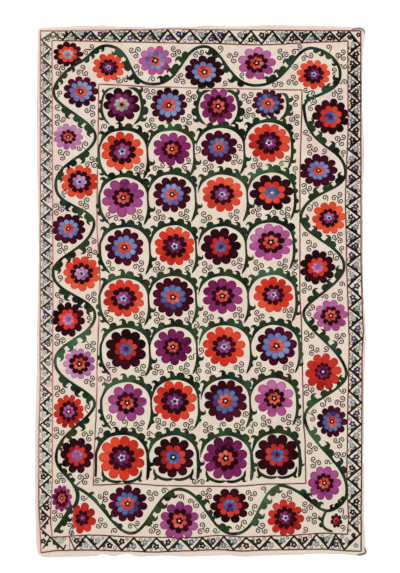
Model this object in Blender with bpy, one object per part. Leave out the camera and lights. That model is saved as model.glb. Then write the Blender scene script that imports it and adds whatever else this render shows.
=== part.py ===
"""A suzani: a large embroidered cotton cloth, sewn from three loom-woven panels and lying flat.

X runs across the cloth, Y along it and Z up, in metres. The origin is at the middle of the cloth's
box, on the surface that it lies on.
"""

from collections import namedtuple

import bpy

# Driving dimensions.
HALF_WIDTH = 0.788  # from the middle to the nominal side edge
HALF_LENGTH = 1.278  # from the middle to the nominal end edge
THICKNESS = 0.002  # cotton ground with the silk couched on it
SEAM_GAP = 0.0003  # between two panels that are sewn edge to edge
STEP = 0.024  # longest side of the outline's polygon
CORNER_STEPS = 4  # sides of a rounded corner

COTTON = (0.84, 0.76, 0.64)

# How far an edge strays from its nominal line: "along" is the place on the edge, from its middle,
# and "out" is how far the edge lies outside the line there, both in millimetres.
Stray = namedtuple("Stray", "along out")

TOP_EDGE = (
    Stray(-784, -8.5),
    Stray(-678, -2),
    Stray(-571, 2.5),
    Stray(-484, 6.5),
    Stray(-378, -0.5),
    Stray(-219, -4.5),
    Stray(-40, 0.5),
    Stray(28, 5.5),
    Stray(192, 0.5),
    Stray(337, 7.5),
    Stray(482, 5.5),
    Stray(675, 0.5),
    Stray(762, -5.5),
    Stray(793, -9),
)
BOTTOM_EDGE = (
    Stray(-786, -1),
    Stray(-740, 7.5),
    Stray(-649, 5),
    Stray(-557, 3.5),
    Stray(-504, 1),
    Stray(-475, -10),
    Stray(-422, 1),
    Stray(-354, -10.5),
    Stray(-296, 3.5),
    Stray(-170, -2),
    Stray(-79, 3.5),
    Stray(134, -2.5),
    Stray(216, 3.5),
    Stray(312, -1.5),
    Stray(482, -6.5),
    Stray(578, -11),
    Stray(699, -7.5),
    Stray(757, -1),
    Stray(798, -4),
)
LEFT_EDGE = (
    Stray(-1268, -2),
    Stray(-1200, 6),
    Stray(-1007, 10),
    Stray(-717, 9),
    Stray(-283, 1),
    Stray(225, -7.5),
    Stray(732, 1),
    Stray(1118, -1),
    Stray(1262, -4),
)
RIGHT_EDGE = (
    Stray(-1239, 10),
    Stray(-1055, 2),
    Stray(-845, 4.5),
    Stray(-823, -1),
    Stray(-669, 2),
    Stray(-427, 4),
    Stray(-210, 10),
    Stray(56, -2.5),
    Stray(442, -2.5),
    Stray(635, 3),
    Stray(949, -7),
    Stray(1118, -4),
    Stray(1252, 6),
)

# The seams run from end to end. "along" is the height on the cloth and "out" the seam's X there.
CENTRE_SEAM = (
    Stray(-1285, -6),
    Stray(-900, -6),
    Stray(-250, -1),
    Stray(450, -3),
    Stray(950, 0),
    Stray(1285, 7),
)
LEFT_SEAM = (
    Stray(-1285, -633),
    Stray(-1215, -630),
    Stray(-1150, -617),
    Stray(-900, -616),
    Stray(1285, -619),
)

# The cloth's corners are a little round: the radius of each.
TOP_LEFT_CORNER = 0.010
TOP_RIGHT_CORNER = 0.016
BOTTOM_LEFT_CORNER = 0.022
BOTTOM_RIGHT_CORNER = 0.014


def read_table(table, along):
    """The table's "out" at a place along the edge, in metres, eased from each row to the next."""
    place = along * 1000
    if place <= table[0].along:
        return table[0].out / 1000
    for low, high in zip(table, table[1:]):
        if place <= high.along:
            share = (place - low.along) / (high.along - low.along)
            eased = share * share * (3 - 2 * share)
            return (low.out + (high.out - low.out) * eased) / 1000
    return table[-1].out / 1000


def top_y(x):
    return HALF_LENGTH + read_table(TOP_EDGE, x)


def bottom_y(x):
    return -HALF_LENGTH - read_table(BOTTOM_EDGE, x)


def left_x(y):
    return -HALF_WIDTH - read_table(LEFT_EDGE, y)


def right_x(y):
    return HALF_WIDTH + read_table(RIGHT_EDGE, y)


def left_of(seam):
    """The side of a panel that ends at a seam, just left of it."""
    return lambda y: read_table(seam, y) - SEAM_GAP / 2


def right_of(seam):
    return lambda y: read_table(seam, y) + SEAM_GAP / 2


def spaced(start, end):
    """Even places from start to end, both included, no farther apart than STEP."""
    count = int(abs(end - start) / STEP) + 1
    return [start + (end - start) * i / count for i in range(count + 1)]


def corner_between(before, corner, after):
    """The points inside a rounded corner, on a curve that leaves and meets the two edges along them."""
    points = []
    for i in range(1, CORNER_STEPS):
        t = i / CORNER_STEPS
        weights = ((1 - t) ** 2, 2 * t * (1 - t), t * t)
        trio = (before, corner, after)
        points.append(tuple(sum(w * p[k] for w, p in zip(weights, trio)) for k in range(2)))
    return points


def panel_outline(left, right, radii):
    """The outline, anticlockwise from the bottom left. left and right give a side's X at a height, and
    radii are those of the bottom left, bottom right, top right and top left corners, 0 at a seam."""
    corners = [
        (left(-HALF_LENGTH), bottom_y(left(-HALF_LENGTH))),
        (right(-HALF_LENGTH), bottom_y(right(-HALF_LENGTH))),
        (right(HALF_LENGTH), top_y(right(HALF_LENGTH))),
        (left(HALF_LENGTH), top_y(left(HALF_LENGTH))),
    ]
    (x0, y0), (x1, y1), (x2, y2), (x3, y3) = corners
    r0, r1, r2, r3 = radii
    sides = [
        [(x, bottom_y(x)) for x in spaced(x0 + r0, x1 - r1)],
        [(right(y), y) for y in spaced(y1 + r1, y2 - r2)],
        [(x, top_y(x)) for x in spaced(x2 - r2, x3 + r3)],
        [(left(y), y) for y in spaced(y3 - r3, y0 + r0)],
    ]
    outline = []
    for side, corner, radius, following in zip(
        sides, corners[1:] + corners[:1], (r1, r2, r3, r0), sides[1:] + sides[:1]
    ):
        outline += side
        if radius:
            outline += corner_between(side[-1], corner, following[0])
        else:
            outline.pop()  # the next side starts at this same point
    return outline


def cotton_material():
    material = bpy.data.materials.new("cotton ground")
    material.use_nodes = True
    shader = material.node_tree.nodes["Principled BSDF"]
    shader.inputs["Base Color"].default_value = (*COTTON, 1)
    shader.inputs["Roughness"].default_value = 0.9
    shader.inputs["Metallic"].default_value = 0
    return material


def add_panel(name, outline, collection):
    """A flat panel: a filled outline, thickened evenly, with its underside on the surface."""
    curve = bpy.data.curves.new(name, "CURVE")
    curve.dimensions = "2D"
    curve.fill_mode = "BOTH"
    curve.extrude = THICKNESS / 2
    spline = curve.splines.new("POLY")
    spline.points.add(len(outline) - 1)
    for point, (x, y) in zip(spline.points, outline):
        point.co = (x, y, 0, 1)
    spline.use_cyclic_u = True
    curve.materials.append(cotton_material())
    panel = bpy.data.objects.new(name, curve)
    panel.location.z = THICKNESS / 2
    collection.objects.link(panel)
    return panel


def main():
    for old in list(bpy.data.objects):
        bpy.data.objects.remove(old)
    suzani = bpy.data.collections.new("Suzani")
    bpy.context.scene.collection.children.link(suzani)
    add_panel(
        "panel_left",
        panel_outline(left_x, left_of(LEFT_SEAM), (BOTTOM_LEFT_CORNER, 0, 0, TOP_LEFT_CORNER)),
        suzani,
    )
    add_panel(
        "panel_middle",
        panel_outline(right_of(LEFT_SEAM), left_of(CENTRE_SEAM), (0, 0, 0, 0)),
        suzani,
    )
    add_panel(
        "panel_right",
        panel_outline(
            right_of(CENTRE_SEAM), right_x, (0, BOTTOM_RIGHT_CORNER, TOP_RIGHT_CORNER, 0)
        ),
        suzani,
    )


main()
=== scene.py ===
"""A suzani: three cotton panels sewn side by side, covered with couched silk embroidery.

Lengths are millimetres from the middle of the cloth, with Y towards its top edge, until a mesh is
made in metres. Directions are degrees, anticlockwise from +X.
"""

import math
import random
from collections import namedtuple

import bpy
import numpy
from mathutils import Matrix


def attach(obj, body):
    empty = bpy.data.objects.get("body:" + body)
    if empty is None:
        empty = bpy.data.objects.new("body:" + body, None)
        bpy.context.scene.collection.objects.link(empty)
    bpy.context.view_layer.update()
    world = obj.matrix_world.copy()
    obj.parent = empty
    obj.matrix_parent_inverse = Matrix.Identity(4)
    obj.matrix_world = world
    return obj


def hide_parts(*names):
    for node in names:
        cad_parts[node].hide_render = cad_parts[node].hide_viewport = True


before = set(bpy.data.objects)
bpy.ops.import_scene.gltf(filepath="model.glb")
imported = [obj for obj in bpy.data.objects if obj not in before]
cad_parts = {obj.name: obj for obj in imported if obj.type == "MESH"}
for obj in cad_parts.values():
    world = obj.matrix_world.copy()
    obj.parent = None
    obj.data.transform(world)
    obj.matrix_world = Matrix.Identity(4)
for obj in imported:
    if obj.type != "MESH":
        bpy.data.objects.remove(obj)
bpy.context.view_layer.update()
chance = random.Random(7)
between = chance.uniform

# ---------------- the cloth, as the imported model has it

HALF_WIDTH = 788  # from the middle to the nominal side edge
HALF_LENGTH = 1278  # from the middle to the nominal end edge
SEAM_GAP = 0.3

# A wandering line. "along" is the place on it and "out" how far it strays there, or where it runs.
Stray = namedtuple("Stray", "along out")


def rows_of(kind, *rows):
    """A table whose rows are named tuples of that kind."""
    return tuple(kind(*row) for row in rows)


def strays(*rows):
    return rows_of(Stray, *rows)


def metres(*lengths):
    return tuple(length / 1000 for length in lengths)


def cosine(degrees):
    return math.cos(math.radians(degrees))


def sine(degrees):
    return math.sin(math.radians(degrees))


TOP_EDGE = strays(
    (-784, -8.5), (-678, -2), (-571, 2.5), (-484, 6.5), (-378, -0.5), (-219, -4.5), (-40, 0.5),
    (28, 5.5), (192, 0.5), (337, 7.5), (482, 5.5), (675, 0.5), (762, -5.5), (793, -9),
)
BOTTOM_EDGE = strays(
    (-786, -1), (-740, 7.5), (-649, 5), (-557, 3.5), (-504, 1), (-475, -10), (-422, 1),
    (-354, -10.5), (-296, 3.5), (-170, -2), (-79, 3.5), (134, -2.5), (216, 3.5), (312, -1.5),
    (482, -6.5), (578, -11), (699, -7.5), (757, -1), (798, -4),
)
LEFT_EDGE = strays(
    (-1268, -2), (-1200, 6), (-1007, 10), (-717, 9), (-283, 1), (225, -7.5), (732, 1),
    (1118, -1), (1262, -4),
)
RIGHT_EDGE = strays(
    (-1239, 10), (-1055, 2), (-845, 4.5), (-823, -1), (-669, 2), (-427, 4), (-210, 10),
    (56, -2.5), (442, -2.5), (635, 3), (949, -7), (1118, -4), (1252, 6),
)
CENTRE_SEAM = strays((-1285, -6), (-900, -6), (-250, -1), (450, -3), (950, 0), (1285, 7))
LEFT_SEAM = strays((-1285, -633), (-1215, -630), (-1150, -617), (-900, -616), (1285, -619))


def ease(table, along):
    """Where a wandering line is at a place along it, eased from each row to the next."""
    if along <= table[0].along:
        return table[0].out
    for low, high in zip(table, table[1:]):
        if along <= high.along:
            share = (along - low.along) / (high.along - low.along)
            return low.out + (high.out - low.out) * share * share * (3 - 2 * share)
    return table[-1].out


def top_y(x):
    return HALF_LENGTH + ease(TOP_EDGE, x)


def bottom_y(x):
    return -HALF_LENGTH - ease(BOTTOM_EDGE, x)


def left_x(y):
    return -HALF_WIDTH - ease(LEFT_EDGE, y)


def right_x(y):
    return HALF_WIDTH + ease(RIGHT_EDGE, y)


def beside(seam, side):
    """The side of a panel that ends just left (-1) or right (1) of a seam."""
    return lambda y: ease(seam, y) + side * SEAM_GAP / 2


# The cloth's gentle ripples on the surface that it lies on.
Ripple = namedtuple("Ripple", "length heading height start")
RIPPLES = rows_of(
    Ripple,
    (640, 12, 0.7, 0.4), (410, 84, 0.8, 2.1), (230, 101, 0.45, 4.4), (150, 38, 0.25, 1.2),
    (92, -20, 0.14, 3.0),
)
WAVES = []
for ripple in RIPPLES:
    pace = 2 * math.pi / ripple.length
    ways = pace * cosine(ripple.heading), pace * sine(ripple.heading)
    WAVES.append((*ways, ripple.height / 2, ripple.start))
COTTON_THICKNESS = 0.9
HEM_BREADTH = 12
HEM_RISE = 0.55  # of the hem's upper face over the cloth inside it
HEM_SLOPE = 2.5  # from the one to the other
CLEARANCE = 0.15  # under the cloth, where a ripple is lowest
CALM = 120  # how far in from the edges the ripples grow
CALM_SHARE = 0.25  # of a ripple, at the very edge


def lie_plain(x, y):
    """How high a single layer of the cotton lies, calmer near the cloth's own edges."""
    inside = min(HALF_WIDTH - abs(x), HALF_LENGTH - abs(y), CALM) / CALM
    rise = sum(h + h * math.sin(a * x + b * y + c) for a, b, h, c in WAVES)
    return COTTON_THICKNESS + CLEARANCE + rise * (CALM_SHARE + (1 - CALM_SHARE) * max(0, inside))


def from_edge(x, y):
    """How far a place is from the cloth's nearest edge."""
    return max(0, min(y - bottom_y(x), top_y(x) - y, x - left_x(y), right_x(y) - x))


def lie(x, y):
    """How high the cotton's upper face lies, its hems too."""
    height = lie_plain(x, y)
    if abs(x) > HALF_WIDTH - 30 or abs(y) > HALF_LENGTH - 30:  # near enough for a hem
        height += HEM_RISE * (1 - min(1, max(0, (from_edge(x, y) - HEM_BREADTH) / HEM_SLOPE)))
    return height


# ---------------- silks

# sRGB colours: the silk itself; a darker one, which is its darkest dye lot and also paints shade at a
# patch's rim and in the grooves between its threads; and its lightest dye lot.
Silk = namedtuple("Silk", "colour rim light")
SILKS = {
    "plum": ((66, 3, 24), (32, 0, 12), (92, 14, 50)),
    "black": ((43, 3, 12), (16, 0, 5), (66, 9, 32)),
    "orange": ((231, 74, 48), (190, 40, 22), (246, 104, 66)),
    "scarlet": ((222, 52, 32), (172, 34, 20), (238, 88, 56)),
    "coral": ((220, 78, 62), (172, 44, 34), (232, 120, 104)),
    "red": ((200, 40, 32), (142, 20, 18), (220, 72, 56)),
    "blue": ((104, 138, 188), (92, 70, 136), (146, 172, 206)),
    "slate": ((76, 108, 166), (58, 34, 90), (112, 140, 182)),
    "purple": ((124, 27, 86), (62, 6, 44), (150, 50, 114)),
    "magenta": ((140, 36, 100), (92, 14, 64), (164, 70, 134)),
    "orchid": ((184, 86, 148), (142, 44, 108), (206, 130, 178)),
    "mauve": ((196, 126, 172), (150, 78, 130), (216, 164, 198)),
    "lilac": ((150, 104, 150), (96, 54, 104), (190, 154, 194)),
    "fuchsia": ((160, 66, 128), (112, 28, 86), (186, 104, 156)),
    "crimson": ((182, 30, 58), (126, 10, 32), (204, 72, 96)),
    "jade": ((160, 174, 160), (108, 128, 114), (202, 208, 200)),
    "frost": ((180, 190, 206), (118, 128, 160), (218, 224, 230)),
    "green": ((36, 54, 34), (9, 17, 10), (60, 96, 60)),
    "sage": ((68, 82, 58), (34, 46, 32), (104, 128, 108)),
    "soot": ((26, 26, 18), (8, 10, 8), (52, 62, 42)),
    "rose": ((130, 68, 64), (82, 32, 30), (190, 138, 130)),
    "umber": ((36, 20, 16), (18, 8, 8), (78, 52, 42)),
    "violet": ((68, 44, 104), (32, 16, 58), (106, 82, 144)),
    "haze": ((134, 143, 154), (86, 95, 108), (178, 188, 192)),
    "ivory": ((242, 231, 200), (196, 178, 138), (252, 247, 230)),
    # painted shade of the curled right corners
    "corner_shade_grey": ((112, 104, 108), (78, 72, 76), (150, 142, 146)),
}
SILKS = {name: Silk(*colours) for name, colours in SILKS.items()}


class Stitches:
    """All the stitches of one silk, gathered into one mesh."""

    def __init__(self):
        self.points, self.faces = [], []
        self.tones, self.rims = [], []  # for each point
        self.threads = []  # for each corner of each face: along and across the laid threads

    def strip(self, rows, closed=False):
        """Quads between rows of points. Each point is (x, y, z, rim, tone, along, across)."""
        first = len(self.points)
        for row in rows:
            for x, y, z, rim, tone, _, _ in row:
                self.points.append(metres(x, y, z))
                self.rims.append(rim)
                self.tones.append(tone)
        count = len(rows[0])
        for i in range(len(rows) - 1):
            for j in range(count if closed else count - 1):
                k = (j + 1) % count
                corners = ((i, j), (i, k), (i + 1, k), (i + 1, j))
                self.faces.append(tuple(first + r * count + c for r, c in corners))
                for r, c in corners:
                    along = rows[r][c][5]
                    if closed and k == 0 and c == 0:
                        along = rows[r][j][5] * (j + 1) / max(j, 1)
                    self.threads.append((along, rows[r][c][6], 0))
        if closed:
            self.faces.append(tuple(range(len(self.points) - count, len(self.points))))
            self.threads += [(0, point[6], 0) for point in rows[-1]]


stitches = {name: Stitches() for name in SILKS}

# The rows of a filled patch, from its rim to its heart, and of a couched line from side to side:
# how far in each lies as a share, and how high as a share of the patch's height.
FILL_ROWS = ((0, None), (0.07, 0.6), (0.22, 0.92), (0.55, 1), (0.94, 1.02))
WIDE_ROWS = ((0, None), (0.12, 0.7), (0.36, 1), (0.64, 1), (0.88, 0.7), (1, None))
FINE_ROWS = ((0, None), (0.5, 1), (1, None))
SINK = 0.45  # how far a patch's rim goes into what it lies on
FINE_SINK = 0.1
RIM_SHARE = 0.32  # of the way to a patch's heart, where the painted shade at its rim ends
RIM_BREADTH = 5  # the breadth of a line whose middle rows are just free of the painted rim shade


def span(a, b):
    return math.hypot(b[0] - a[0], b[1] - a[1])


def towards(place, heading, distance):
    return place[0] + distance * cosine(heading), place[1] + distance * sine(heading)


def midway(a, b, share=0.5):
    return a[0] + (b[0] - a[0]) * share, a[1] + (b[1] - a[1]) * share


def bearing(a, b):
    """The heading from one place to another."""
    return math.degrees(math.atan2(b[1] - a[1], b[0] - a[0]))


def lengths_along(line):
    """How far each point of a line is along it."""
    lengths = [0]
    for a, b in zip(line, line[1:]):
        lengths.append(lengths[-1] + span(a, b))
    return lengths


def fill(silk, outline, heart, height, base=0.0, tone=0.0, rimless=False):
    """A patch filled with rows of thread that follow its outline."""
    rows = []
    for share, rise in FILL_ROWS:
        # rim: the share in from the outline, over which the painted shade at the rim fades
        rim = 1 if rimless else min(1, share / RIM_SHARE)
        up = -SINK if rise is None else height * rise
        row = []
        for (x, y), along in zip(outline, lengths_along(outline)):
            px, py = midway((x, y), heart, share)
            across = share * span((x, y), heart)
            row.append((px, py, lie(px, py) + base + up, rim, tone, along, across))
        rows.append(row)
    stitches[silk].strip(rows, closed=True)


def at_share(breadth, share):
    """A breadth at a share of a line's length: a number, a function or rows of (share, breadth)."""
    if callable(breadth):
        return breadth(share)
    return breadth if isinstance(breadth, (int, float)) else ease(breadth, share)


def couch(silk, line, left, right=None, base=0.0, height=0.7, tone=0.0, fine=False):
    """A line of laid thread, so broad to its left and right."""
    lengths = lengths_along(line)
    rows = []
    for i, (x, y) in enumerate(line):
        before, after = line[max(i - 1, 0)], line[min(i + 1, len(line) - 1)]
        size = span(before, after) or 1
        nx, ny = -(after[1] - before[1]) / size, (after[0] - before[0]) / size
        share = lengths[i] / (lengths[-1] or 1)
        west = at_share(left, share)
        breadth = west + (west if right is None else at_share(right, share))
        mood = tone(x, y) if callable(tone) else tone
        row = []
        for place, rise in FINE_ROWS if fine else WIDE_ROWS:
            out = west - place * breadth
            px, py = x + nx * out, y + ny * out
            if rise is None:
                up = -FINE_SINK if fine else -SINK
            else:
                up = height * rise * min(1, 0.25 + breadth / 6)
            # rim: how far in from the line's sides, over which the painted shade at its rim fades
            rim = 1 if fine else min(1, min(place, 1 - place) * breadth / RIM_BREADTH)
            row.append((px, py, lie(px, py) + base + up, rim, mood, lengths[i], place * breadth))
        rows.append(row)
    stitches[silk].strip(rows)


def smooth(points, step=8):
    """A smooth line through points, in steps of about that length."""
    line = []
    for i in range(len(points) - 1):
        a, b = points[max(i - 1, 0)], points[i]
        c, d = points[i + 1], points[min(i + 2, len(points) - 1)]
        count = max(1, round(span(b, c) / step))
        for k in range(count):
            t = k / count
            terms = (
                2 * p + (r - o) * t + (2 * o - 5 * p + 4 * r - s) * t * t + (3 * p - o - 3 * r + s) * t**3
                for o, p, r, s in zip(a, b, c, d)
            )
            line.append(tuple(term / 2 for term in terms))
    return line + [tuple(points[-1])]


WALK_STEP, WALK_TURN = 8, 32  # about the length and the degrees of a step


def walk(start, heading, *bends):
    """A line that turns as it goes. Each bend is its length and the degrees that it turns left."""
    line = [start]
    for length, turn in bends:
        steps = max(2, round(max(length / WALK_STEP, abs(turn) / WALK_TURN)))
        for _ in range(steps):
            heading += turn / steps / 2
            line.append(towards(line[-1], heading, length / steps))
            heading += turn / steps / 2
    return line


# ---------------- curls, hooks and leaves

CURL_REACH = 16  # from a curl's node to its middle
CURL_BREADTH = 3.05  # of its thread, to either side


def curl(node, heading, hand):
    """A spiral on a short stalk. It lies that way from its node and turns left (1) or right (-1)."""
    big = between(0.94, 1.06)
    bends = ((11, -10), (34, 168), (24, 185), (8, 140))
    line = walk(node, heading - hand * 36, *((length * big, hand * turn) for length, turn in bends))
    couch("umber", line, CURL_BREADTH, tone=between(-0.9, 0.1), height=0.5, fine=True)


def clear(place):
    """Whether a place is outside every rosette, or no deeper in one than the overlap."""
    return all(
        math.hypot((place[0] - x) / (breadth / 2 - OVERLAP), (place[1] - y) / (length / 2 - OVERLAP)) > 1
        for x, y, breadth, length, way, _ in FLOWERS
        if way != CUT_WAY
    )


# What stands out from a leaf's edge: where, as a share of its length, a round "bump" or a curled
# "hook", its size, and how far a hook's foot leans on before its tip curls back.
Lobe = namedtuple("Lobe", "at kind size lean", defaults=(1, 4))
POINTED = strays((0, 0.25), (0.08, 1), (0.92, 1), (1, 0.15))  # how a leaf's ends narrow
BLUNT = strays((0, 0.25), (0.08, 1), (0.97, 1), (1, 0.4))
BUMP_RADIUS, BUMP_REACH, HOOK_REACH = 15, 18, 22  # of lobes of size 1
LOBE_FOOT = 0.75  # where on the leaf's breadth a lobe stands
LEAST_LOBE = 0.45  # the size to which a lobe shrinks to keep clear of a rosette
OVERLAP = 5  # of a lobe and a rosette at most, before it does


def leaf(line, side, breadth, lobes, tone, stem=5.0, height=0.9, ends=POINTED, silk="green"):
    """A leafy stretch of stem. side is 1 where its lobes are on the left and -1 on the right, and
    breadth is how broad it is on that side."""
    left, right = (breadth, stem) if side > 0 else (stem, breadth)
    mood = tone if callable(tone) else lambda x, y: tone
    couch(
        silk,
        line,
        lambda s: at_share(left, s) * at_share(ends, s),
        lambda s: at_share(right, s) * at_share(ends, s),
        tone=mood,
        height=height,
    )
    lengths = lengths_along(line)
    for lobe in lobes:
        i = min(range(len(line)), key=lambda k: abs(lengths[k] - lobe.at * lengths[-1]))
        outward = bearing(line[max(i - 1, 0)], line[min(i + 1, len(line) - 1)]) + side * 90
        broad = at_share(breadth, lobe.at)
        size = lobe.size * between(0.92, 1.08)
        reach = BUMP_REACH if lobe.kind == "bump" else HOOK_REACH
        while size > LEAST_LOBE and not clear(towards(line[i], outward, broad * LOBE_FOOT + reach * size)):
            size *= 0.9
        here = mood(*line[i]) + between(-0.1, 0.1)
        if lobe.kind == "bump":
            heart = towards(line[i], outward, broad * LOBE_FOOT + 3.5 * size)
            radius = BUMP_RADIUS * size
            ring = [
                towards(heart, outward + 30 * k, radius * (1.04 - 0.1 * cosine(60 * k))) for k in range(12)
            ]
            fill(silk, ring, heart, base=0.1, height=height, tone=here)
        else:
            bends = ((15 * size + broad * 0.4, 16), (9 * size, 74), (13 * size, 44))
            spine = walk(
                towards(line[i], outward, broad * 0.3),
                outward - side * lobe.lean,
                *((length, side * turn) for length, turn in bends),
            )
            stout = 0.3 + 0.7 * size
            girth = strays((0, 14 * stout), (0.42, 10.5 * stout), (0.7, 5.6 * stout), (1, 1))
            couch(silk, spine, girth, base=0.05, height=height, tone=here)


# ---------------- rosettes

# One ring of a rosette: its silk, how far it reaches as a share of the rosette's radius, and its
# petals. Pointed petals make a star, and no petals a round dot.
Ring = namedtuple("Ring", "silk reach petals pointed", defaults=(False,))
COLOURWAYS = {
    "B": (
        ("plum", 1, 11), ("blue", 0.64, 10), ("coral", 0.38, 7), ("black", 0.185, 5, True),
        ("ivory", 0.058, 0),
    ),
    "O": (
        ("orange", 1, 11), ("black", 0.62, 10), ("purple", 0.38, 7), ("frost", 0.2, 5, True),
        ("soot", 0.08, 0),
    ),
    "M": (
        ("magenta", 1, 10), ("black", 0.58, 9), ("coral", 0.35, 7), ("black", 0.19, 5, True),
        ("ivory", 0.055, 0),
    ),
    "D": (
        ("black", 1, 10), ("red", 0.6, 8), ("slate", 0.35, 8), ("purple", 0.18, 5, True),
        ("plum", 0.06, 0),
    ),
    "P": (
        ("black", 1, 10), ("purple", 0.71, 9), ("jade", 0.41, 8), ("red", 0.2, 5, True), ("plum", 0.09, 0),
    ),
    "C": (
        ("orchid", 1, 10), ("blue", 0.62, 9), ("coral", 0.38, 8), ("black", 0.23, 4, True),
        ("ivory", 0.075, 0),
    ),
    "K": (
        ("black", 1, 12), ("blue", 0.62, 9), ("coral", 0.4, 8), ("plum", 0.2, 5, True),
        ("ivory", 0.075, 0),
    ),
    "E": (
        ("red", 1, 10), ("black", 0.5, 10), ("purple", 0.37, 7), ("black", 0.22, 5, True),
        ("frost", 0.09, 0),
    ),
    "F": (("red", 1, 9), ("black", 0.5, 7), ("purple", 0.25, 5), ("lilac", 0.1, 0)),
    "S": (("black", 1, 8), ("crimson", 0.58, 7), ("plum", 0.2, 0)),
}
COLOURWAYS = {way: rows_of(Ring, *rings) for way, rings in COLOURWAYS.items()}

# Other silks that a rosette may have in place of its colourway's, by the ring's number.
SWAPS = {
    "s": {1: "slate"}, "f": {0: "scarlet"}, "v": {2: "mauve"}, "x": {2: "fuchsia"},
    "w": {0: "scarlet", 2: "fuchsia"}, "y": {0: "red"}, "n": {0: "fuchsia"},
    "r": {0: "red", 2: "orchid", 3: "plum", 4: "ivory"}, "m": {0: "orchid"}, "p": {0: "mauve"},
    "k": {3: "black", 4: "ivory"}, "u": {0: "purple"}, "h": {1: "scarlet"},
    "l": {2: "lilac", 3: "orchid", 4: "lilac"}, "g": {1: "scarlet", 2: "mauve", 3: "orchid", 4: "lilac"},
    "j": {1: "orange", 2: "jade", 3: "orchid", 4: "mauve"}, "c": {1: "orange", 3: "lilac", 4: "ivory"},
}
RING_HEIGHT = 0.62
RING_STEP = 0.42  # from a ring's foot to that of the ring on it
RAY_WAIST = 0.42  # where a pointed petal is broadest, as a share of its reach
CUT_WAY = "F"  # the colourway of the rosette that stops at the left seam


def petal_outline(near, foot, far, head, pointed):
    """A petal that points along +X in a circle of radius 1: its foot is at "near", so broad to
    either side, and its round head, of that radius, ends at "far"."""
    if pointed:
        middle = near + (far - near) * RAY_WAIST
        side = [(near, foot), (middle, head), ((middle + far) / 2, head * 0.62)]
        return [(x, -y) for x, y in side] + [(far, 0)] + side[::-1]
    centre = far - head
    arc = [(centre + head * cosine(a), head * sine(a)) for a in range(-100, 101, 25)]
    waist = near + (centre - near) * 0.5
    side = foot / near * waist * 1.04
    return [(near, -foot), (waist, -side)] + arc + [(waist, side), (near, foot)]


def rosette(x, y, width, height, way, core):
    """A flower of ringed petals. way is its colourway and any swap of silks, and core the size of
    its inner rings to those of the colourway."""
    outer, *inner = COLOURWAYS[way[0]]
    rings = [outer] + [ring._replace(reach=ring.reach * core) for ring in inner]
    swap = SWAPS.get(way[1:], {})
    squareness = between(-0.02, 0.02)

    def place(a, b, angle):
        u, v = a * cosine(angle) - b * sine(angle), a * sine(angle) + b * cosine(angle)
        px, py = x + u * width / 2 * (1 + squareness * v), y + v * height / 2
        return (max(px, ease(LEFT_SEAM, py) + 1.5) if way == CUT_WAY else px), py

    def disc(silk, reach, sides, **laid):
        fill(silk, [place(reach, 0, 360 / sides * k) for k in range(sides)], (x, y), **laid)

    for level, ring in enumerate(rings):
        silk, lift = swap.get(level, ring.silk), level * RING_STEP
        turn, slow = between(0, 360), between(0, 360)
        if not ring.petals:
            disc(silk, ring.reach, 10, base=lift, height=RING_HEIGHT)
            continue
        count = ring.petals + (chance.choice((0, 0, 0, 1, -1)) if level == 0 else 0)
        half = math.pi / count
        if ring.pointed:
            head, near, foot = ring.reach * math.sin(half) * 0.66, 0.04, 0.03
        else:
            head = math.sin(half) / (1 + math.sin(half)) * ring.reach * between(1.02, 1.08)
            near = max(rings[level + 1].reach * 0.8, ring.reach * 0.3)
            foot = near * math.tan(half) * 1.06
        for k in range(count):
            angle = turn + 360 * (k + between(-0.05, 0.05)) / count
            far = ring.reach * between(1.0, 1.06)
            plump = head * between(0.95, 1.06)
            outline = [place(a, b, angle) for a, b in petal_outline(near, foot, far, plump, ring.pointed)]
            heart = place(far * 0.45 if ring.pointed else far - plump * 1.25, 0, angle)
            tone = 0.55 * sine(angle + slow) + between(-0.35, 0.35)
            tall = RING_HEIGHT + between(-0.06, 0.06)
            fill(silk, outline, heart, base=lift, height=tall, tone=tone)
        reach = ring.reach * RAY_WAIST if ring.pointed else max(near + 0.1, ring.reach - head * 1.04)
        disc(silk, reach, 18, base=lift - 0.05, height=RING_HEIGHT * 0.8, tone=-0.3)
        if level == 0:  # the petals' feet run into one another
            reach = max(near + 0.05, ring.reach - head * 1.55)
            disc(silk, reach, 24, base=lift + 0.14, height=RING_HEIGHT, tone=-0.05, rimless=True)


# The rosettes: where each is, how broad and long, its colourway, and how big its inner rings are to
# those of the colourway. The field's come four to a row, and then the border's.
Flower = namedtuple("Flower", "x y breadth length way core")
FIELD = rows_of(
    Flower,
    (-380, 901, 178, 162, "P", 1.02), (-152, 898, 178, 170, "B", 1.08), (86, 893, 170, 171, "M", 1.12),
    (328, 907, 156, 135, "Bs", 1.1), (-377, 675, 204, 190, "Ox", 1.06), (-136, 686, 183, 161, "M", 0.96),
    (90, 695, 179, 164, "Bs", 0.9), (332, 717, 201, 185, "Of", 0.98), (-372, 451, 202, 184, "Mn", 0.94),
    (-136, 467, 184, 175, "B", 0.94), (106, 468, 198, 170, "Ox", 0.98), (346, 476, 212, 176, "Dc", 1.04),
    (-366, 212, 186, 177, "B", 1), (-124, 217, 191, 188, "Of", 1.02), (99, 215, 189, 180, "D", 0.92),
    (341, 236, 209, 177, "Mm", 1.1), (-370, -35, 195, 182, "Ow", 1.02), (-132, -28, 202, 190, "Bs", 0.98),
    (107, -23, 196, 174, "M", 1), (353, -17, 187, 172, "Ow", 0.94), (-359, -281, 201, 198, "D", 0.92),
    (-132, -269, 183, 177, "Mu", 0.9), (115, -267, 202, 191, "Ow", 0.94), (368, -264, 200, 186, "B", 1.06),
    (-353, -540, 191, 185, "Mn", 1), (-123, -532, 208, 197, "Of", 1.06), (122, -530, 208, 200, "Bs", 0.94),
    (357, -518, 188, 180, "Mm", 0.96), (-379, -804, 219, 215, "Of", 0.96),
    (-130, -802, 202, 197, "Dk", 1.04), (123, -807, 213, 208, "Mu", 1.04),
    (371, -791, 209, 199, "D", 0.96),
)
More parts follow.
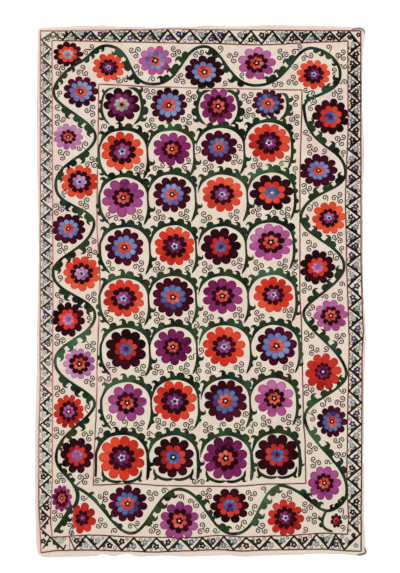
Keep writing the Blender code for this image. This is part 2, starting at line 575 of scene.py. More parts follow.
BORDER = rows_of(
    Flower,
    (-639, 1144, 145, 121, "Dj", 1.1), (-443, 1081, 154, 136, "O", 0.98),
    (-217, 1114, 159, 143, "C", 1.02), (20, 1058, 192, 160, "K", 1), (272, 1102, 180, 159, "Mm", 1.08),
    (548, 1047, 161, 143, "O", 1.02), (-577, 964, 170, 152, "B", 1.04), (-638, 745, 147, 127, "Mp", 0.96),
    (-583, 528, 176, 164, "Ov", 1.08), (-637, 301, 168, 147, "B", 0.96), (-573, 85, 180, 166, "Ov", 1.02),
    (-638, -136, 162, 167, "Dg", 1.02), (-584, -351, 152, 149, "Mp", 1.18),
    (-636, -581, 146, 162, "Or", 1.02), (-596, -793, 162, 172, "Dl", 1), (-669, -1000, 97, 127, "M", 1.14),
    (-570, -1096, 138, 149, "F", 1.04), (-351, -1026, 189, 179, "Bs", 0.98),
    (-101, -1109, 189, 184, "Mn", 1.14), (143, -1036, 186, 169, "D", 1.08),
    (412, -1095, 175, 175, "Oy", 1.02), (630, 842, 176, 175, "Dh", 1.04), (571, 583, 183, 160, "B", 0.9),
    (622, 354, 161, 158, "Ox", 0.96), (567, 115, 172, 166, "Dg", 0.96), (630, -118, 162, 154, "Mm", 1.06),
    (593, -389, 175, 182, "E", 0.96), (636, -629, 144, 154, "Bs", 1.02), (599, -926, 160, 167, "Mn", 1),
    (657, -1109, 58, 71, "S", 0.92),
)
FLOWERS = BORDER + FIELD

# ---------------- the field's leafy lattice

STEM_DROP, LAST_DROP = 131, 108  # from a rosette's middle to the foot of the stem beside it
STEM_SLANT, LAST_SLANT = 19, 4
WEST_BEYOND = -596  # a rosette's place beyond the field's west edge, had it one
LAST_WEST = -501  # the last row's westmost stem
EAST_ROOM = 108  # from a row's last rosette to the stem at its east
ARCH_STEM, LAST_ARCH_STEM = 4.5, 7  # how broad an arch is on its inner side
WREATH_BREADTH = 178  # of the rosette that has a whole wreath
WREATHS = ((-1, 1), (), (-1, 1), (1,))  # the sides of the first row's rosettes that have half of one
ARCH_BREADTH = strays(
    (0, 6), (0.08, 8), (0.15, 17), (0.24, 17), (0.29, 13), (0.36, 19), (0.46, 18), (0.53, 22), (0.6, 16),
    (0.66, 8), (0.71, 6), (0.78, 7), (0.84, 16), (0.91, 14), (1, 7),
)
OUTER_ARCH_BREADTH = ARCH_BREADTH[:9] + strays((0.67, 10), (0.77, 12), (0.88, 12), (0.95, 9), (1, 6))
LAST_ARCH_BREADTH = ARCH_BREADTH[:9] + strays((0.67, 10), (0.77, 10), (0.84, 15), (0.93, 12), (1, 10))
ARCH_LOBES = rows_of(
    Lobe,
    (0.165, "hook", 1.0), (0.245, "bump", 1.1), (0.34, "hook", 1.12), (0.41, "bump", 1.2),
    (0.51, "hook", 1.1, -20), (0.57, "bump", 1.2), (0.63, "bump", 0.6),
)
STEM_LOBES = (Lobe(0.84, "hook", 0.95, 10), Lobe(0.9, "bump", 0.6))
LAST_STEM_LOBES = (Lobe(0.87, "hook", 0.5, 10),)
OUTER_STEM_LOBES = (Lobe(0.7, "bump", 0.7), Lobe(0.8, "bump", 0.75), Lobe(0.9, "hook", 0.75))

# Where the green silk has faded to a paler green or, below 0, was nearly black.
Patch = namedtuple("Patch", "x y reach by")
GREEN_PATCHES = rows_of(
    Patch,
    (409, 320, 42, -2), (335, 85, 95, 1.6), (-366, -420, 55, 1.9), (-440, -452, 45, 1.4),
    (-570, -215, 90, 2.2), (-685, -310, 60, 1.5), (346, -985, 70, 1.9), (290, -1085, 75, 1.3),
    (300, 585, 85, 1.4), (554, -700, 70, 1.8), (-385, 75, 90, 1.3),
)


def green_mood(start):
    """The green's dye lots along a stretch: slow swings between black-green and a paler green."""
    a, b = between(0, 6), between(0, 6)

    def mood(x, y):
        tone = start + 0.4 * math.sin(x / 23 + a) + 0.35 * math.sin(y / 31 + b)
        for patch in GREEN_PATCHES:
            near = 1 - math.hypot(x - patch.x, y - patch.y) / patch.reach
            tone += patch.by * min(1, max(0, 2.5 * near))
        return tone

    return mood


def arch(flower, west, east, last, outermost):
    """The arch over a rosette, from the stem at its west, over the top and down its own east stem."""
    y = flower.y
    middle, half = (west + east) / 2, (east - west) / 2
    rise = 0.75 * (flower.length / 2 + (13 if last else 10)) + 26
    drop, slant = (LAST_DROP, LAST_SLANT) if last else (STEM_DROP, STEM_SLANT)
    points = [(west - 1, y + 4)]
    for angle in (165, 145, 122, 100, 78, 55, 32, 12):
        wobble = between(-2, 2)
        points.append((middle + half * cosine(angle), y + (rise + wobble) * sine(angle) ** 0.9))
    points += [(east, y - 8), (east + 1, y - 48), (east - slant * 0.25, y - 88), (east - slant, y - drop)]
    lobes, breadth, stem = STEM_LOBES, ARCH_BREADTH, ARCH_STEM
    if outermost:
        lobes, breadth = OUTER_STEM_LOBES, OUTER_ARCH_BREADTH
    if last:
        lobes = LAST_STEM_LOBES if outermost else STEM_LOBES
        breadth, stem = LAST_ARCH_BREADTH, LAST_ARCH_STEM
    mood = green_mood(between(-0.5, 0.35))
    leaf(smooth(points), 1, breadth, ARCH_LOBES + lobes, stem=stem, tone=mood, ends=BLUNT)


def side_stem(y, west, last):
    """The stem at the field's west edge: leafy where it ends on the next row's arch."""
    points = [(west + 14, y + 66), (west + 1, y + 30), (west - 2, y - 10)]
    if last:
        points += [(west - 2, y - 50), (west - 4, y - 94)]
        leaf(smooth(points), -1, 8, (), stem=6, tone=-0.5, ends=BLUNT)
        return
    points += [(west + 8, y - 70), (west + 48, y - 133)]
    lobes = (Lobe(0.5, "bump", 0.75), Lobe(0.66, "bump", 0.75), Lobe(0.8, "hook", 0.7))
    breadth = strays((0, 2), (0.3, 9), (0.6, 12), (0.8, 12), (1, 2))
    leaf(smooth(points), -1, breadth, lobes, tone=green_mood(0))


def half_wreath(flower, hand):
    """A leafy bracket beside a rosette of the first row, on its west (-1) or east (1) side."""
    x, y = flower[:2]
    points = [(30, 84), (62, 74), (88, 48), (100, 5), (98, -34), (84, -70), (58, -102)]
    scale = 0.25 + 0.75 * flower.breadth / WREATH_BREADTH
    first, last = x < -300, x > 300
    stout = 0.62 if hand < 0 and first else scale
    lobes = rows_of(
        Lobe,
        (0.26, "hook", 0.95 * stout), (0.45, "bump", stout), (0.62, "bump", 1.3 * stout),
        (0.78, "hook", 0.25 + 0.85 * stout),
    )
    if last:  # the smallest, which starts lower
        points = [(63, 62), (89, 47)] + points[3:]
        lobes = rows_of(Lobe, (0.33, "hook", 0.95), (0.52, "bump", 1.15), (0.67, "hook", 1.0))
    spread = hand * (0.95 if first else scale)
    line = smooth([(x + px * spread, y + py * scale * scale) for px, py in points])
    breadth = strays(
        (0, 1), (0.2, 16 * stout), (0.45, 12 * stout), (0.7, 19 * stout), (0.85, 12 * stout), (1, 1)
    )
    leaf(line, hand, breadth, lobes, tone=green_mood(0))


def cup(flower, hand):
    """One of the two leaves that hold a rosette of the last row from below."""
    drop = flower.length / 2 + 9
    points = [(97, 0.5), (87, 0.76), (58, 0.94), (26, 1), (-1, 0.97)]
    line = smooth([(flower.x + hand * across, flower.y - share * drop) for across, share in points])
    breadth = strays((0, 2), (0.25, 10), (0.7, 9), (1, 7))
    leaf(line, hand, breadth, (Lobe(0.3, "hook", 0.7, 35),), stem=7, tone=green_mood(-0.3))


def build_field():
    for number in range(0, len(FIELD), 4):
        row = FIELD[number : number + 4]
        first, last = number == 0, number + 4 == len(FIELD)
        xs = [flower.x for flower in row]
        edges = [(a + b) / 2 for a, b in zip([WEST_BEYOND] + xs, xs)] + [xs[3] + EAST_ROOM]
        if last:
            edges[0] = LAST_WEST
        for column, flower in enumerate(row):
            if first:
                for hand in WREATHS[column]:
                    half_wreath(flower, hand)
                continue
            west = edges[column] + (0 if column == 0 else 5)
            east = edges[column + 1] - (9 if column == 1 else 0)
            arch(flower, west, east, last, column == 3)
            if column == 0:
                side_stem(flower.y, west, last)
            if last:
                cup(flower, -1)
                cup(flower, 1)


# ---------------- the border's winding vine

# Where the vine turns, clockwise from its fork at the bottom left corner, the way that it goes there
# and how roundly: the run on before it turns, to the span to the next turn.
Turn = namedtuple("Turn", "x y heading round")
VINE = rows_of(
    Turn,
    (-606, -948, 112, 1.1), (-696, -806, 92, 1.1), (-514, -560, 67, 0.85), (-701, -347, 94, 1.05),
    (-511, -134, 76, 1.05), (-709, 70, 103, 1), (-518, 300, 70, 1.25), (-698, 503, 94, 1.2),
    (-510, 727, 68, 0.9), (-706, 947, 106, 0.75), (-580, 1107, 26, 1.15), (-436, 1184, -10, 1.3),
    (-233, 1000, -1, 1.4), (5, 1181, 8, 1), (279, 994, 4, 1.4), (520, 1172, 13, 0.75),
    (675, 1058, -85, 1.2), (554, 940, -159, 1.25), (502, 866, -82, 1.6), (701, 585, -83, 1.05),
    (497, 396, -118, 1.2), (692, 141, -74, 1), (499, -108, -88, 0.65), (704, -382, -76, 1),
    (505, -620, -80, 0.95), (706, -984, -99, 1.1), (607, -1060, 169, 0.75), (430, -948, 158, 1.35),
    (177, -1171, 188, 1.1), (-86, -958, 168, 1.05), (-332, -1169, 180, 0.75), (-602, -946, 158, 1.2),
)
VINE_BREADTH = strays(
    (0, 9), (0.14, 7), (0.25, 13), (0.34, 5), (0.48, 14), (0.57, 5), (0.7, 13), (0.82, 8), (1, 8)
)
# The lobes of a stretch that leads away from the field, and of one that leads back to it.
OUTWARD_LOBES = rows_of(
    Lobe,
    (0.18, "hook", 1.25), (0.26, "bump", 1.1), (0.41, "hook", 1.3), (0.49, "bump", 1.15),
    (0.64, "hook", 1.3), (0.72, "bump", 1.1),
)
INWARD_LOBES = rows_of(
    Lobe,
    (0.16, "hook", 1.25), (0.24, "bump", 1.1), (0.41, "hook", 1.3), (0.5, "bump", 1.15),
    (0.67, "hook", 1.3), (0.76, "bump", 1.1),
)
SHORT_LOBES = rows_of(
    Lobe,
    (0.22, "hook", 1), (0.33, "bump", 1.1), (0.56, "hook", 1.05), (0.68, "bump", 1.15),
)
CORNER_LOBES = rows_of(
    Lobe,
    (0.2, "bump", 0.8), (0.38, "hook", 0.85), (0.54, "bump", 0.95), (0.78, "hook", 0.75),
)
# Leafy twigs from the vine at the bottom corners: where each leads, its breadth, and its lobes and the
# side that they are on.
Twig = namedtuple("Twig", "points breadth side lobes")
TWIGS = rows_of(
    Twig,
    (((-606, -948), (-594, -975), (-595, -1008), (-606, -1034), (-616, -1046)), 12, 1, ()),
    (
        ((-622, -1030), (-640, -1068), (-668, -1113), (-706, -1166)), 13, 1,
        rows_of(Lobe, (0.2, "bump", 0.85), (0.42, "hook", 1.15), (0.58, "bump", 1.0), (0.86, "hook", 1.0)),
    ),
    (((-612, -947), (-594, -933), (-577, -919)), 4, 1, ()),
    (
        ((611, -1062), (597, -1085), (590, -1120), (604, -1146), (642, -1162)), 8, -1,
        rows_of(Lobe, (0.3, "hook", 0.7), (0.5, "bump", 0.75)),
    ),
)


def stretch(start, end):
    """The vine from one turn to the next."""
    reach = span(start, end)
    p = towards((0, 0), start.heading, reach * start.round)
    q = towards((0, 0), end.heading, reach * end.round)
    count = max(8, round(reach * 1.25 / 7))
    line = []
    for t in (k / count for k in range(count + 1)):
        weights = (2 * t**3 - 3 * t * t + 1, 3 * t * t - 2 * t**3, t**3 - 2 * t * t + t, t**3 - t * t)
        line.append(tuple(sum(w * v[n] for w, v in zip(weights, (start, end, p, q))) for n in range(2)))
    return line


BORDER_MIDDLE = (606, 1075)  # of the border's breadth, from the middle of the cloth
OUTER_HALF = (600, 1075)  # where the vine's outer turns begin
SHORT_SPAN, SHORTEST_SPAN = 230, 130
VINE_STEM = 8.5


def lobe_side(a, b, middle):
    """The side of a stroke of the border that faces back, anticlockwise round the cloth: 1 for its
    left and -1 for its right."""
    x, y = middle
    if abs(x) / BORDER_MIDDLE[0] > abs(y) / BORDER_MIDDLE[1]:
        clockwise = 90 if x < 0 else -90
    else:
        clockwise = 0 if y > 0 else 180
    return 1 if cosine(bearing(a, b) + 90 - clockwise) < 0 else -1


def off_field(turn):
    return abs(turn.x) > OUTER_HALF[0] or abs(turn.y) > OUTER_HALF[1]


def build_vine():
    for start, end in zip(VINE, VINE[1:]):
        line = stretch(start, end)
        side = lobe_side(start, end, line[len(line) // 2])
        if off_field(start) and off_field(end):
            side, lobes = -1, CORNER_LOBES
        elif span(start, end) < SHORTEST_SPAN:
            lobes = (Lobe(0.3, "hook", 0.8),)
        elif span(start, end) < SHORT_SPAN:
            lobes = SHORT_LOBES
        else:
            lobes = OUTWARD_LOBES if off_field(end) else INWARD_LOBES
        mood = green_mood(between(-0.45, 0.1))
        leaf(line, side, VINE_BREADTH, lobes, stem=VINE_STEM, tone=mood, ends=1)
    for twig in TWIGS:
        leaf(smooth(twig.points), twig.side, twig.breadth, twig.lobes, stem=twig.breadth * 0.8, tone=-0.3)


# ---------------- guard lines and zigzag

# The three couched guard rectangles: where each side runs.
Guard = namedtuple("Guard", "left top right bottom")
OUTER_GUARD = Guard(
    strays((-1262, -770), (-1008, -780), (-767, -780), (-400, -773), (1263, -772)),
    strays((-774, 1257), (-300, 1262), (-117, 1267), (0, 1262), (774, 1258)),
    strays((-1257, 777), (-332, 781), (-187, 787), (-91, 782), (200, 776), (1258, 775)),
    strays(
        (-770, -1262), (-680, -1252), (-560, -1250), (-340, -1255), (-240, -1260), (-60, -1254),
        (80, -1248), (206, -1255), (300, -1250), (580, -1246), (777, -1256),
    ),
)
INNER_GUARD = Guard(
    strays((-1190, -716), (-1105, -723), (-900, -715), (0, -712), (1210, -716)),
    strays((-716, 1211), (-388, 1204), (23, 1197), (279, 1190), (626, 1204), (713, 1208)),
    strays(
        (-1174, 711), (-1105, 716), (-912, 708), (-670, 711), (-260, 719), (199, 706), (440, 701),
        (634, 708), (780, 714), (1208, 713),
    ),
    strays(
        (-716, -1188), (-530, -1178), (-300, -1188), (-30, -1190), (90, -1180), (216, -1187),
        (380, -1182), (602, -1169), (711, -1174),
    ),
)
FIELD_GUARD = Guard(
    strays((-938, -516), (-430, -499), (54, -485), (344, -499), (999, -491)),
    strays((-491, 999), (-195, 986), (95, 979), (491, 972)),
    strays((-930, 509), (-740, 507), (-620, 498), (-187, 489), (0, 481), (480, 481), (972, 491)),
    strays((-516, -936), (-331, -930), (-165, -940), (150, -943), (350, -931), (509, -929)),
)

# Where the guard lines' thread is darker, or (above 0) more faded: a part of the cloth and by how much.
Shade = namedtuple("Shade", "left right low high by")
SHADES = rows_of(
    Shade,
    (-120, 720, 1150, 1230, -0.8), (-800, 240, 1240, 1290, 0.8), (-400, 500, 960, 1010, 0.5),
    (-800, -680, -900, 1290, 0.6), (550, 800, -1290, -400, -0.5),
)


def guard_line(table, upright, breadth, fade):
    """One side of a guard rectangle, couched over a thread, a little unsteady and so far faded."""
    low, high = table[0].along, table[-1].along
    count = round((high - low) / 10)
    shake = [between(-0.7, 0.7) for _ in range(count + 1)]
    a, b = between(0, 6), between(0, 6)
    line = []
    for k in range(count + 1):
        along = low + (high - low) * k / count
        out = ease(table, along) + shake[k]
        line.append((out, along) if upright else (along, out))

    def mood(x, y):
        shade = sum(s.by for s in SHADES if s.left < x < s.right and s.low < y < s.high)
        return fade + shade + 0.4 * math.sin((x + y) / 60 + a) + 0.3 * math.sin((x - y) / 23 + b)

    couch("rose", line, breadth, tone=mood, height=0.75, fine=True)


def build_guards():
    for guard, breadth in ((OUTER_GUARD, 4.0), (INNER_GUARD, 3.8), (FIELD_GUARD, 3.7)):
        guard_line(guard.left, True, breadth, 0.5)
        guard_line(guard.right, True, breadth, -0.5)
        guard_line(guard.top, False, breadth, 0)
        guard_line(guard.bottom, False, breadth, -0.6)


# The zigzag's outer points on each side, clockwise: where the first is, and runs of even steps.
Run = namedtuple("Run", "end steps")
Side = namedtuple("Side", "start runs")
ZIGZAG = {
    "left": Side(-1148, rows_of(Run, (-448, 7), (-343, 1), (526, 10), (1213, 8))),
    "top": Side(-710, rows_of(Run, (-626, 1), (-240, 4), (-157, 1), (52, 2), (138, 1), (350, 2), (720, 4))),
    "right": Side(1192, rows_of(Run, (462, 8), (360, 1), (84, 3), (-32, 1), (-324, 3), (-1173, 8))),
    "bottom": Side(697, rows_of(Run, (618, 1), (288, 3), (162, 1), (-39, 2), (-608, 5), (-661, 1))),
}
BAND_INSET = 4  # from a guard line to the zigzag's points
INNER_CORNER = (-726, -1187)  # where the zigzag turns at the bottom left
SPUR = (-760, -1243)  # the end of the leaf that grows from there
ZIGZAG_LOBES = (Lobe(0.32, "hook", 0.44), Lobe(0.6, "bump", 0.44))
ZIGZAG_BREADTH = strays((0, 3), (0.2, 4), (0.36, 11), (0.66, 12), (0.84, 4), (1, 3))
BROKEN = strays((0, 4), (0.35, 13), (0.8, 8), (1, 3))  # the breadth of its stroke at the left seam
DARKS = ("violet", "haze", "jade")  # of the blossoms on the cloth's left
RINGLETS = ("umber", "umber", "umber", "sage")
RINGLET_RADIUS, RINGLET_BREADTH = 6.4, 2.1
BLOSSOM_REACH, PETAL_LENGTH, PETAL_BREADTH = 8.5, 6.4, 6  # to a petal's middle, and half its size
LEFT_BAND, BOTTOM_BAND = -690, -1150  # where the band's left and bottom sides begin
FADED_FROM = -520  # the height above which its left side is faded
LEAST_TRIANGLE = 60  # between two of the zigzag's points that have flowers between them


def blossom(place, silk, size=1.0, pale=0.0):
    """A tiny flower of five petals round an open middle."""
    turn = between(0, 72)
    tone = pale + between(-0.6, 0.6)
    for k in range(5):
        angle = turn + 72 * k
        heart = towards(place, angle, BLOSSOM_REACH * size)
        reaches = [PETAL_BREADTH if j % 4 else PETAL_LENGTH for j in range(8)]
        ring = [towards(heart, angle + 45 * j, reach * size) for j, reach in enumerate(reaches)]
        fill(silk, ring, heart, height=0.6, tone=tone + between(-0.2, 0.2))


def ringlet(place, silk):
    """A small open ring."""
    radius = RINGLET_RADIUS * between(0.88, 1.12)
    line = [towards(place, 30 * k, radius) for k in range(13)]
    couch(silk, line, RINGLET_BREADTH, tone=between(-0.9, 0.2), height=0.4, fine=True)


def zigzag_leaf(a, b, side):
    """One leafy stroke of the zigzag: black at the top right, and faded on the cloth's left."""
    far_left = a[0] < LEFT_BAND
    faded = far_left and a[1] > FADED_FROM
    if max(a[1], b[1]) < BOTTOM_BAND and -668 < min(a[0], b[0]) and max(a[0], b[0]) < -600:
        if b[1] > a[1]:  # broken at the left seam
            couch("green", [a, b], BROKEN, base=0.2)
        else:
            couch("soot", [midway(a, b, 0.6), b], 4, base=0.2, tone=-0.3)
        return
    silk, fade = "green", -0.3
    if a[0] > 690 and a[1] > 150:
        silk, fade = "soot", 0
    elif faded:
        silk, fade = "sage", 0.6 if a[0] < -700 and a[1] > 1150 else 0
    travel = bearing(a, b)
    line = smooth([a, towards(midway(a, b), travel - 90 * side, 1.5), b], 7)
    stout = 0.9 if far_left and b[0] < LEFT_BAND else 1.15
    broad = [Stray(row.along, row.out * stout) for row in ZIGZAG_BREADTH]
    tone = fade + between(-0.5, 0.5)
    leaf(line, side, broad, ZIGZAG_LOBES, stem=2, tone=tone, height=0.8, silk=silk)
    tone = fade / 2 + between(-0.4, 0.6)
    stroke = [towards(a, travel, -2), b]
    couch("umber" if faded else "soot", stroke, 3.6 if far_left else 5, base=0.2, tone=tone)


def zigzag_vertices():
    """The zigzag's points, clockwise, and the numbers of the strokes that turn its corners."""
    vertices, turns = [], []
    for name, side in ZIGZAG.items():
        upright, sign = name in ("left", "right"), 1 if name in ("left", "bottom") else -1
        tips = [side.start]
        for run in side.runs:
            start = tips[-1]
            tips += [start + (run.end - start) * (k + 1) / run.steps for k in range(run.steps)]
        tips = [tip + between(-3, 3) for tip in tips]

        def at(along, guard, inset):
            out = ease(getattr(guard, name), along) + sign * inset
            return (out, along) if upright else (along, out)

        turns.append(len(vertices) - 1)
        for a, b in zip(tips, tips[1:]):
            vertices.append(at(a, OUTER_GUARD, BAND_INSET))
            vertices.append(at((a + b) / 2 + between(-3, 3), INNER_GUARD, -BAND_INSET))
        vertices.append(at(tips[-1], OUTER_GUARD, BAND_INSET))
    return vertices + [INNER_CORNER, vertices[0]], turns[1:]


def zigzag_flowers(a, b, c, number, turns):
    """A blossom and small rings between three of the zigzag's points."""
    x, y = b
    foot = midway(a, c)
    before_turn = number + 1 in turns
    corner = before_turn or number in turns
    inky = y < BOTTOM_BAND or x > 200 and y > 1100 or abs(x) > 600 and y < -850 or x > 600 and y > 700
    dark, size, pale = "black" if inky else "violet", 1.12, 0
    if x < -700 and y > -850:
        dark, size, pale = chance.choice(DARKS), 0.9, 0.7
    if y < BOTTOM_BAND and x > 60:
        dark = chance.choice(("violet", "black"))
    light = "jade" if chance.random() < (0.45 if x < -600 else 0.12) else "haze"
    if corner:
        dark, light = ("black", "jade") if x > 0 else ("haze", "haze")
        size, pale = 0.9, 0
    if x > -640 or y < 1130:
        silk = dark if (before_turn if corner else number % 4 < 2) else light
        share = (0.5 if before_turn else 0.36) if corner else 0.32
        blossom(midway(foot, b, share), silk, size, pale)
    else:
        ringlet(midway(foot, b, 0.35), "umber")
    silk = chance.choice(RINGLETS)
    near, far = (c, a) if number % 2 else (a, c)
    ringlet(midway(midway(foot, near), b, 0.13), silk)
    if chance.random() < 0.75:
        ringlet(midway(midway(foot, far), b, 0.14), silk)


def build_zigzag():
    vertices, turns = zigzag_vertices()
    for number, (a, b) in enumerate(zip(vertices, vertices[1:])):
        side = lobe_side(a, b, midway(a, b))
        if number in turns:
            side = -1
            if a[0] > 0:
                place = towards(midway(a, b), bearing(a, b) + 90, 25)
                blossom(place, "black" if a[1] > 0 else "haze", 0.92)
        zigzag_leaf(a, b, side)
    zigzag_leaf(INNER_CORNER, SPUR, 1)
    blossom((-758, -1207), "black")
    for number, (a, b, c) in enumerate(zip(vertices, vertices[1:], vertices[2:-1])):
        if span(a, c) >= LEAST_TRIANGLE:
            zigzag_flowers(a, b, c, number, turns)


# ---------------- the cotton panels

GRID_STEP = 9
HEM_LINES = (0, 0.5, 1.6, 4, 8, 12.5, 14.5)
SEAM_LINES = (0, 0.8, 2.2, 4.5)
HEM_ROUND, HEM_DROP = 2, 0.8  # of the folded edge
SEAM_ROUND, SEAM_DROP = 3, 0.5
MARGIN = 30  # the breadth of the margin, paler towards the edge, with painted shade along the folded edge itself
CORNERS = {("left", "bottom"): 22, ("right", "bottom"): 14, ("right", "top"): 16, ("left", "top"): 10}


def edge_steps(length, near, far):
    """Shares of a length at which a panel has grid lines: finer near each of its ends."""
    start, end = list(near), [length - d for d in reversed(far)]
    gap = end[0] - start[-1]
    count = max(1, round(gap / GRID_STEP))
    middle = [start[-1] + gap * k / count for k in range(1, count)]
    return [d / length for d in start + middle + end]


def round_corner(x, y, outline, radius):
    """Draws a point near a square corner in, so that the corner is round."""
    cx, cy = outline
    p, q = 1 - abs(x - cx) / radius, 1 - abs(y - cy) / radius
    if p <= 0 or q <= 0:
        return x, y
    u, v = p * math.sqrt(1 - q * q / 2), q * math.sqrt(1 - p * p / 2)
    return x - math.copysign((p - u) * radius, cx), y - math.copysign((q - v) * radius, cy)


def make_panel(name, node, left, right, hem):
    """A closed, thin sheet of cotton between two sides. hem names the side that is hemmed."""
    width = right(0) - left(0)
    across = edge_steps(width, *(HEM_LINES if side == hem else SEAM_LINES for side in ("left", "right")))
    upward = edge_steps(2 * HALF_LENGTH, HEM_LINES, HEM_LINES)
    tops, bottoms, margins = [], [], []
    for v in upward:
        for u in across:
            y = (2 * v - 1) * HALF_LENGTH
            x = left(y) + (right(y) - left(y)) * u
            y = bottom_y(x) + (top_y(x) - bottom_y(x)) * v
            x = left(y) + (right(y) - left(y)) * u
            for (side, end), radius in CORNERS.items():
                if side == hem:
                    cx = left(y) if side == "left" else right(y)
                    cy = bottom_y(x) if end == "bottom" else top_y(x)
                    x, y = round_corner(x, y, (cx, cy), radius)
            gaps = {"left": x - left(y), "right": right(y) - x}
            seam = max(0, min(gap for side, gap in gaps.items() if side != hem))
            edge = from_edge(x, y)
            z = lie(x, y)
            if edge < HEM_ROUND:
                z -= HEM_DROP * (1 - math.sqrt(max(0, 1 - (1 - edge / HEM_ROUND) ** 2)))
            if seam < SEAM_ROUND:
                z -= SEAM_DROP * (1 - seam / SEAM_ROUND) ** 2
            tops.append(metres(x, y, z))
            bottoms.append(metres(x, y, lie_plain(x, y) - COTTON_THICKNESS))
            # margin: nearness to the edge, for the paler margin and the painted shade along the folded edge
            margins.append(1 - min(1, edge / MARGIN))
    columns, rows = len(across), len(upward)
    count = columns * rows
    faces = []
    for r in range(rows - 1):
        for c in range(columns - 1):
            a, b = r * columns + c, (r + 1) * columns + c
            faces.append((a, a + 1, b + 1, b))
            faces.append((count + a, count + b, count + b + 1, count + a + 1))
    rim = [*range(columns)] + [r * columns + columns - 1 for r in range(1, rows)]
    rim += [(rows - 1) * columns + c for c in range(columns - 2, -1, -1)]
    rim += [r * columns for r in range(rows - 2, 0, -1)]
    faces += [(a, count + a, count + b, b) for a, b in zip(rim, rim[1:] + rim[:1])]
    mesh = bpy.data.meshes.new(name)
    mesh.from_pydata(tops + bottoms, [], faces)
    add_numbers(mesh, "margin", margins + margins)
    mesh.shade_smooth()
    mesh.materials.append(cotton)
    panel = link(name, mesh)
    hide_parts(node)
    ride(panel)


def add_numbers(mesh, name, values, kind="FLOAT", domain="POINT"):
    attribute = mesh.attributes.new(name, kind, domain)
    if kind == "FLOAT":
        attribute.data.foreach_set("value", values)
    else:
        attribute.data.foreach_set("vector", [n for value in values for n in value])


def link(name, data):
    """A new object, put in the scene."""
    made = bpy.data.objects.new(name, data)
    bpy.context.scene.collection.objects.link(made)
    return made


def ride(piece):
    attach(piece, "root")


# ---------------- the curls that fill the bare places

CELL = 4  # of the grid that the bare places are looked for on
FAR = 9  # cells, the most room that is measured
CURL_CELLS = 10  # cells to each side of a curl's middle that it takes up
NODE_ROOM = 8  # that a group's node needs
FIELD_MIDDLE, FIELD_HALF = (-3, 22), (493, 955)  # and half its width and length
AMPLE = 20  # more room than this makes a place no better
STALK_REACH = 40
IN_FRONT = 0.8  # cosine of the least angle between a stalk and a curl
# Groups of curls about a node: which ways they lie, and the bare room that each needs about its middle.
Group = namedtuple("Group", "ways room")
GROUPS = rows_of(Group, ((0, 120, 240), 13), ((0, 180), 13), ((0, 110), 13), ((0,), 16))


def cells(points):
    x, y = points[:, 0], points[:, 1]
    return ((y + HALF_LENGTH) / CELL).astype(int), ((x + HALF_WIDTH) / CELL).astype(int)


def in_field(x, y):
    return (abs(x - FIELD_MIDDLE[0]) < FIELD_HALF[0]) & (abs(y - FIELD_MIDDLE[1]) < FIELD_HALF[1])


ZIGZAG_INSIDE = (700, 1172)  # half the width and length of the place that the zigzag leaves
GREEN_INSIDE = (705, 1168)  # and of where the vine and arches are


def in_cloth(points, half_width, half_length):
    """Those of the points that are so near the cloth's middle."""
    return points[(abs(points[:, 0]) < half_width) & (abs(points[:, 1]) < half_length)]


def bare_room():
    """How far each cell is from the nearest stitch, and the green silk's points inside the zigzag."""
    taken = numpy.zeros((int(2 * HALF_LENGTH / CELL) + 4, int(2 * HALF_WIDTH / CELL) + 4), bool)
    for name, sewn in stitches.items():
        if sewn.faces:
            points = numpy.array(sewn.points)[:, :2] * 1000
            middles = numpy.array([points[list(face)].mean(0) for face in sewn.faces])
            taken[cells(points)] = taken[cells(middles)] = True
            if name == "green":
                greens = in_cloth(points, *GREEN_INSIDE)
    room = numpy.full(taken.shape, float(FAR * CELL))
    for dy in range(-FAR, FAR + 1):
        for dx in range(-FAR, FAR + 1):
            near = numpy.roll(taken, (dy, dx), (0, 1))
            room[near] = numpy.minimum(room[near], math.hypot(dx, dy) * CELL)
    return room, greens


def add_stalk(node, ways, greens):
    """A thread from a group's node to the nearest green, unless that is far or behind a curl."""
    near = greens[in_field(*greens.T) == in_field(*node)]
    gap = numpy.hypot(near[:, 0] - node[0], near[:, 1] - node[1])
    root = tuple(float(n) for n in near[gap.argmin()])
    down = math.atan2(root[1] - node[1], root[0] - node[0])
    if gap.min() < STALK_REACH and all(math.cos(down - math.radians(way)) < IN_FRONT for way in ways):
        couch("umber", smooth([root, midway(root, node), node], 6), 2.2, height=0.5, fine=True)


def build_curls():
    """Groups of curls wherever the border and the field have room for them."""
    room, greens = bare_room()
    ys, xs = numpy.nonzero(room > NODE_ROOM)
    nodes = numpy.stack(((xs + 0.5) * CELL - HALF_WIDTH, (ys + 0.5) * CELL - HALF_LENGTH), 1)
    nodes = in_cloth(nodes, *ZIGZAG_INSIDE)
    used = numpy.zeros(room.shape, bool)
    for group in GROUPS:
        offers = []
        for turn in range(0, 360, 20):
            ways = [math.radians(turn + way) for way in group.ways]
            middles = [nodes + CURL_REACH * numpy.array((math.cos(w), math.sin(w))) for w in ways]
            least = numpy.min([room[cells(m)] for m in middles], 0)
            for i in numpy.nonzero(least >= group.room)[0]:
                offers.append((-min(least[i], AMPLE) + 0.25 * room[cells(nodes[i : i + 1])][0], i, turn))
        for _, i, turn in sorted(offers):
            ways = [turn + way for way in group.ways]
            rows, columns = cells(numpy.array([towards(nodes[i], way, CURL_REACH) for way in ways]))
            if used[rows, columns].any():
                continue
            for r, c in zip(rows, columns):
                used[r - CURL_CELLS : r + CURL_CELLS + 1, c - CURL_CELLS : c + CURL_CELLS + 1] = True
            node = tuple(float(n) for n in nodes[i])
            hand = chance.choice((1, -1))
            for way in ways:
                curl(node, way, hand)
            add_stalk(node, ways, greens)


# ---------------- sewing


SEWN = 1262  # how far from the middle the seams' stitches go
HEM_STITCH = 10.5  # from the edge to the hem's stitches


def sew(line, breadth, silk="ivory", **laid):
    couch(silk, line, breadth, fine=True, **laid)


